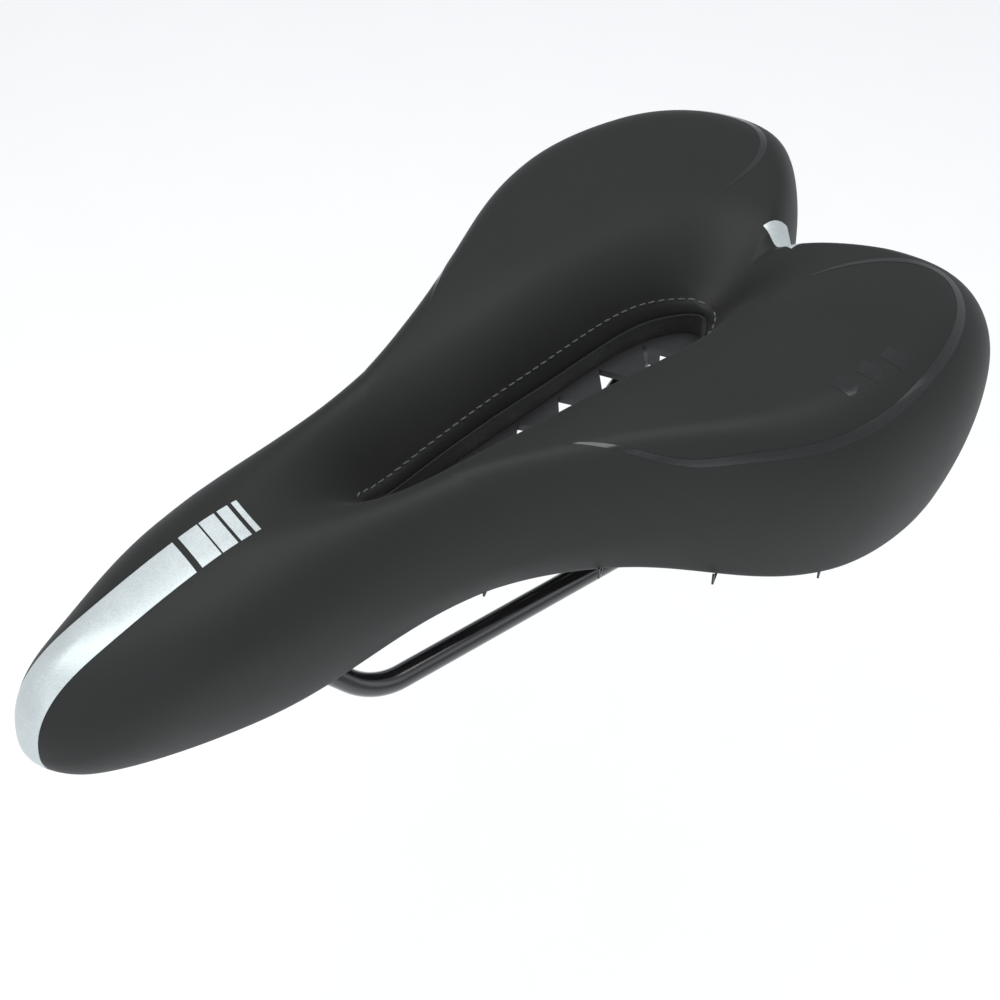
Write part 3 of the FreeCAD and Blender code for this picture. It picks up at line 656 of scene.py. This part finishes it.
def build_lining():
    """Cloth wall of the channel, turned out a little where it meets the shell's floor."""
    rows = []
    levels = ((0.0, 0.75), (0.05, 0.62), (0.14, 0.55), (0.30, 0.60), (0.50, 0.66), (0.70, 0.62),
              (0.86, 0.50), (0.94, 0.36), (1.0, 0.28))
    for level, inset in levels:
        half = moved_rim(-inset, 160)
        high = top_height(half[:, 0], rim_half_width(half[:, 0])) - 1.2
        low = plate(half[:, 0]) + 0.25
        loop = np.column_stack([half, high + (low - high) * level])
        rows.append(np.vstack([loop, loop[-2:0:-1] * [1, -1, 1]]))
    wall = np.array(rows)
    lining = mesh_object("cutout_lining", wall.reshape(-1, 3),
                         grid_faces(wall.shape[0], wall.shape[1], closed=True))
    solidify(lining, 0.5, 0.0)
    finish_mesh(lining.data, 60)
    return lining


def surface_point(x, y, lift):
    """Point on the cover above a place in plan, lifted along the surface's normal, and the normal."""
    hit, normal = outer_skin.ray_cast(Vector((x * MM, y * MM, 0.2)), Vector((0, 0, -1)))[:2]
    return hit / MM + normal * lift, normal


def build_stitches():
    """Row of thread beads round the channel, their ends drawn down into the furrow."""
    stitch_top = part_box("cutout_stitching")[1].z
    seam = moved_rim(SEAM_INSET + 0.4, 1200)
    length = path_lengths(seam)[-1]
    pitch = 3.0
    vertices = []
    faces = []
    ring = 8
    half_length = 1.12
    thread_radius = 0.26
    profile = [(-1.0, 0.12), (-0.88, 0.55), (-0.6, 0.86), (-0.25, 1.0),
               (0.25, 1.0), (0.6, 0.86), (0.88, 0.55), (1.0, 0.12)]
    for side in (1, -1):
        for i in range(1, int(length / pitch)):
            middle = at_lengths(seam, [i * pitch])[0]
            ends = at_lengths(seam, [i * pitch - 1.0, i * pitch + 1.0])
            centre, normal = surface_point(middle[0], middle[1] * side, 0.16)
            if centre.z * MM > stitch_top + 0.004:
                continue
            way = Vector((ends[1][0] - ends[0][0], (ends[1][1] - ends[0][1]) * side, 0))
            way = (way - normal * way.dot(normal)).normalized()
            across = normal.cross(way)
            base = len(vertices)
            for step, width in profile:
                sag = -0.22 * step ** 4
                for k in range(ring):
                    angle = 2 * math.pi * k / ring
                    spread = (across * math.cos(angle) + normal * math.sin(angle)) * thread_radius * width
                    vertices.append(centre + way * (half_length * step) + normal * sag + spread)
            faces += grid_faces(len(profile), ring, base, closed=True)
            faces.append(tuple(base + k for k in range(ring)))
            faces.append(tuple(base + (len(profile) - 1) * ring + k for k in reversed(range(ring))))
    return mesh_object("cutout_stitching", vertices, faces)


dressed(build_lining(), "lining_black", "cutout_lining")
dressed(build_stitches(), "thread_grey", "cutout_stitching")


# ------------------------------------------------------------------ printed films
def laid_film(name, grid, slot, *nodes):
    """Thin film over a grid of points on the cover, as (point, normal) pairs."""
    rows = len(grid)
    columns = len(grid[0])
    vertices = [point for row in grid for point, _ in row]
    film = mesh_object(name, vertices, grid_faces(rows, columns))
    middle = grid[rows // 2][columns // 2][1]
    if film.data.polygons[len(film.data.polygons) // 2].normal.dot(middle) < 0:
        film.data.flip_normals()
    solidify(film, 0.22)
    finish_mesh(film.data, 50)
    return dressed(film, slot, *nodes)


def centre_grid(x_low, x_high, half_width, lift=0.10, steps=10, columns=17):
    """Grid across the centre line between two stations."""
    grid = []
    for x in np.linspace(x_low, x_high, steps):
        grid.append([surface_point(x, y, lift) for y in np.linspace(-half_width, half_width, columns)])
    return grid


def node_span(node):
    """Middle half width and the stations of a film across the centre line, in millimetres."""
    low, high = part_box(node)
    return low.x / MM, high.x / MM, (high.y - low.y) / 2 / MM


def nose_stripe():
    """Film from the crown of the nose down over its front."""
    low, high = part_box("nose_stripe")
    half_width = (high.y - low.y) / 2 / MM
    hub_x = 128.0
    hub_z = 36.0
    columns = []
    for y in np.linspace(-half_width, half_width, 17):
        profile = []
        for angle in np.radians(np.linspace(-48, 128, 420)):
            way = Vector((math.sin(angle), 0, math.cos(angle)))
            hit, normal = outer_skin.ray_cast(Vector((hub_x, y, hub_z)) * MM, way)[:2]
            profile.append([*(hit / MM + normal * 0.10), *normal])
        profile = np.array(profile)
        first = np.interp(low.x / MM, profile[:, 0][:250], np.arange(250))
        over = profile[250:, 2][::-1]
        last = np.interp(low.z / MM, over, np.arange(len(profile) - 1, 249, -1))
        places = np.linspace(first, last, 90)
        index = np.arange(len(profile))
        columns.append([np.interp(places, index, profile[:, k]) for k in range(6)])
    data = np.array(columns)
    grid = []
    for i in range(data.shape[2]):
        grid.append([(Vector(c[:3, i]), Vector(c[3:, i])) for c in data])
    return grid


laid_film("nose_stripe", nose_stripe(), "silver_film", "nose_stripe")
for number in (1, 2, 3, 4):
    node = f"nose_bar_{number}"
    laid_film(node, centre_grid(*node_span(node)), "silver_film", node)
laid_film("tail_tab", centre_grid(*node_span("tail_tab"), steps=16), "silver_film", "tail_tab")


def slanted_mark(node):
    """Slanted gloss bar on the left wing."""
    low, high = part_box(node)
    centre = (low + high) / 2 / MM
    turn = math.radians(24)
    grid = []
    for u in np.linspace(-2.5, 2.5, 9):
        row = []
        for v in np.linspace(-3.5, 3.5, 12):
            x = centre.x + u * math.cos(turn) - v * math.sin(turn)
            y = centre.y + u * math.sin(turn) + v * math.cos(turn)
            row.append(surface_point(x, y, 0.08))
        grid.append(row)
    return grid


for number in (1, 2, 3):
    mark = f"wing_mark_{number}"
    laid_film(mark, slanted_mark(mark), "gloss_print", mark)

WING_LINE = [
    (11, 31.5), (3, 38.5), (-6, 46.5), (-17, 54.5), (-28, 61), (-40, 67), (-52, 70.8), (-64, 72),
    (-78, 70.3), (-92, 66), (-104, 59.5), (-113, 50.5), (-116, 42), (-113, 34), (-105, 27.5),
    (-94, 23.5), (-83, 20.5)]


def wing_line(side):
    """Crescent line round a wing that tapers to a point at both ends."""
    knots = np.array(WING_LINE, float)
    t = path_lengths(knots)
    fine = np.linspace(0, t[-1], 240)
    middle = np.column_stack([natural_spline(t, column)(fine) for column in knots.T])
    ahead = np.gradient(middle, axis=0)
    normal = np.column_stack([-ahead[:, 1], ahead[:, 0]]) / np.linalg.norm(ahead, axis=1)[:, None]
    half = 1.8 * np.sin(math.pi * np.linspace(0.004, 0.996, 240)) ** 0.7
    grid = []
    for point, out, width in zip(middle, normal, half):
        ahead_point, behind_point = point + out * 0.5, point - out * 0.5
        rise = (surface_point(*ahead_point, 0)[0] - surface_point(*behind_point, 0)[0]).z
        width /= math.hypot(1, rise)
        row = []
        for share in np.linspace(-1, 1, 7):
            x, y = point + out * width * share
            row.append(surface_point(x, y * side, 0.08))
        grid.append(row)
    return grid


laid_film("wing_line_left", wing_line(1), "gloss_print", "wing_line_left")
laid_film("wing_line_right", wing_line(-1), "gloss_print", "wing_line_right")


# ------------------------------------------------------------------ rail
def rail_line():
    """Dense centre line of the rail: straight runs joined by tangent arcs."""
    left = [((-94, 33, 33.5), 0.0), ((-38.2, 22, 0), 26.0), ((68.3, 22, 0), 20.0),
            ((90, 9.5, 22), 8.0), ((104, 9.5, 22), 9.4)]
    corners = left + [((x, -y, z), radius) for (x, y, z), radius in left[::-1]]
    points = [Vector(corners[0][0])]
    for i in range(1, len(corners) - 1):
        corner, radius = Vector(corners[i][0]), corners[i][1]
        back = (Vector(corners[i - 1][0]) - corner).normalized()
        onward = (Vector(corners[i + 1][0]) - corner).normalized()
        turn = math.pi - back.angle(onward)
        centre = corner + (back + onward).normalized() * (radius / math.cos(turn / 2))
        first = corner + back * radius * math.tan(turn / 2) - centre
        axis = first.cross(corner + onward * radius * math.tan(turn / 2) - centre).normalized()
        steps = max(8, int(turn * radius / 0.9))
        for k in range(steps + 1):
            points.append(centre + Matrix.Rotation(turn * k / steps, 3, axis) @ first)
    points.append(Vector(corners[-1][0]))
    return points


def tube(name, line, radius, ring=40):
    """Round bar along a line, with slightly rounded ends."""
    stations = [line[0]]
    for a, b in zip(line, line[1:]):
        pieces = max(1, int((b - a).length / 3.0))
        stations += [a + (b - a) * (k / pieces) for k in range(1, pieces + 1)]
    tangents = []
    for i in range(len(stations)):
        tangents.append((stations[min(i + 1, len(stations) - 1)] - stations[max(i - 1, 0)]).normalized())
    side = tangents[0].orthogonal().normalized()
    vertices = []
    sizes = [radius] * len(stations)
    stations = [stations[0], stations[0]] + stations[1:-1] + [stations[-1], stations[-1]]
    tangents = [tangents[0], tangents[0]] + tangents[1:-1] + [tangents[-1], tangents[-1]]
    sizes = [radius - 0.5, radius] + sizes[1:-1] + [radius, radius - 0.5]
    stations[1] = stations[1] + tangents[0] * 0.5
    stations[-2] = stations[-2] - tangents[-1] * 0.5
    for point, tangent, width in zip(stations, tangents, sizes):
        side = (side - tangent * side.dot(tangent)).normalized()
        other = tangent.cross(side)
        for k in range(ring):
            angle = 2 * math.pi * k / ring
            vertices.append(point + (side * math.cos(angle) + other * math.sin(angle)) * width)
    faces = grid_faces(len(stations), ring, closed=True)
    faces.append(tuple(range(ring))[::-1])
    faces.append(tuple((len(stations) - 1) * ring + k for k in range(ring)))
    return mesh_object(name, vertices, faces, 50)


rail_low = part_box("rails")[0]
wire_radius = -rail_low.z / MM
dressed(tube("rails", rail_line(), wire_radius), "rail_gloss", "rails")


# ------------------------------------------------------------------ padding inside
def build_foam():
    """Foam between the cover and the base shell."""
    rulings = Rulings(shares_of(60, 90, 26))
    bottom = rulings.hem + SKIN + 0.15
    rows = rulings.crest(SKIN + 0.25, [0, 0.03, 0.08, 0.16, 0.28, 0.42, 0.58, 0.74, 0.88], 12)
    drop = rulings.waist - rulings.hem
    for part in (0.2, 0.4, 0.6, 0.8, 1.0):
        z = rulings.waist + (bottom - rulings.waist) * part
        r = rulings.reach - SKIN - 0.25 - TUCK * ((rulings.waist - z) / drop) ** 2
        rows.append(rulings.points(r, z))
    rows += rulings.tray(-0.25, bottom)[::-1]
    columns = range(len(rulings.shares) - 1)
    on_rim = rim_columns(rulings)
    last = len(rows) - 1
    points, faces = both_sides(rows + [rows[0]], [(0, last, columns), (last, len(rows), on_rim[:-1])])
    foam = mesh_object("foam_pad", points, faces, 60)
    keep_used_points(foam.data)
    return foam


def build_gel(node):
    """Pillow-edged gel insert."""
    low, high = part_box(node)
    centre = (low + high) / 2 / MM
    height = (high.z - low.z) / MM
    side = 1 if centre.y > 0 else -1
    turn = math.radians(-12 * side)
    run = 9.0
    end_radius = 17
    around = 72
    rows = []
    pillow = ((0.0, 3.0), (0.06, 1.4), (0.2, 0.35), (0.5, 0.0), (0.8, 0.35), (0.94, 1.4), (1.0, 3.0))
    for level, inset in pillow:
        loop = []
        for k in range(around):
            angle = 2 * math.pi * k / around
            u = (end_radius - inset) * math.cos(angle) + math.copysign(run, math.cos(angle))
            v = (end_radius - inset) * math.sin(angle)
            loop.append((centre.x + u * math.cos(turn) - v * math.sin(turn),
                         centre.y + u * math.sin(turn) + v * math.cos(turn), low.z / MM + height * level))
        rows.append(loop)
    vertices = [point for loop in rows for point in loop]
    faces = grid_faces(len(rows), around, closed=True)
    faces.append(tuple(range(around))[::-1])
    faces.append(tuple((len(rows) - 1) * around + k for k in range(around)))
    return mesh_object(node, vertices, faces, 60)


foam = dressed(build_foam(), "foam", "foam_pad")
for node in ("gel_pad_left", "gel_pad_right"):
    dressed(build_gel(node), "gel", node)

# CAD nodes that stay, with better materials.
for node, slot in (("base_shell", "shell_plastic"), ("cover_staples", "staple_steel")):
    dressed(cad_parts[node], slot)

# ------------------------------------------------------------------ stage, light and camera
visual_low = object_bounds()[0]
floor_mesh = bpy.data.meshes.new("floor")
reach = 6.0
floor_z = visual_low.z - 0.42
floor_mesh.from_pydata([(-reach, -reach, floor_z), (reach, -reach, floor_z), (reach, reach, floor_z),
                        (-reach, reach, floor_z)], [], [(0, 1, 2, 3)])
floor = add_object("floor", floor_mesh)
paper = Nodes("floor_paper")
paper.link("Base Color", paper.mixed(paper.noise(40, 2.0), (0.96, 0.96, 0.96), (0.98, 0.98, 0.98)))
paper.setting(Roughness=0.9, Specular_IOR_Level=0.1)
floor_mesh.materials.append(paper.material)

world = bpy.data.worlds.new("studio")
world.use_nodes = True
background = next(n for n in world.node_tree.nodes if n.type == "BACKGROUND")
background.inputs["Color"].default_value = (0.93, 0.96, 1.0, 1.0)
background.inputs["Strength"].default_value = 0.55
bpy.context.scene.world = world


def softbox(name, place, aim, size, power, colour=(1.0, 1.0, 1.0)):
    light = bpy.data.lights.new(name, "AREA")
    light.shape = "RECTANGLE"
    light.size, light.size_y = size
    light.energy = power
    light.color = colour
    thing = bpy.data.objects.new(name, light)
    thing.location = place
    thing.rotation_euler = (Vector(aim) - Vector(place)).to_track_quat("-Z", "Y").to_euler()
    bpy.context.scene.collection.objects.link(thing)
    return thing


softbox("key_above", (0.25, 0.15, 1.6), (0, 0, 0), (1.8, 1.8), 29)
softbox("front_low", (1.1, 0.9, 0.25), (0, 0, 0.03), (1.2, 0.7), 5, (0.90, 0.95, 1.0))
softbox("tail_left", (-0.8, 1.2, 0.7), (-0.03, 0, 0.03), (0.9, 0.7), 1.5)

azimuth = math.radians(54.5)
elevation = math.radians(47.6)
roll = math.radians(-0.4)
target = Vector((0.0123, 0.0045, 0.0274))
back = Vector((math.cos(azimuth) * math.cos(elevation), math.sin(azimuth) * math.cos(elevation),
               math.sin(elevation)))
right = Vector((-math.sin(azimuth), math.cos(azimuth), 0))
up = back.cross(right)
camera_right = right * math.cos(roll) + up * math.sin(roll)
camera_up = up * math.cos(roll) - right * math.sin(roll)
camera_data = bpy.data.cameras.new("camera")
camera_data.sensor_width = 36.0
camera_data.lens = 81.36
camera_data.clip_start = 0.01
camera = bpy.data.objects.new("camera", camera_data)
turned = Matrix((camera_right, camera_up, back)).transposed().to_4x4()
camera.matrix_world = Matrix.Translation(target + back * 0.640) @ turned
bpy.context.scene.collection.objects.link(camera)
bpy.context.scene.camera = camera
bpy.context.scene.view_settings.view_transform = "Standard"
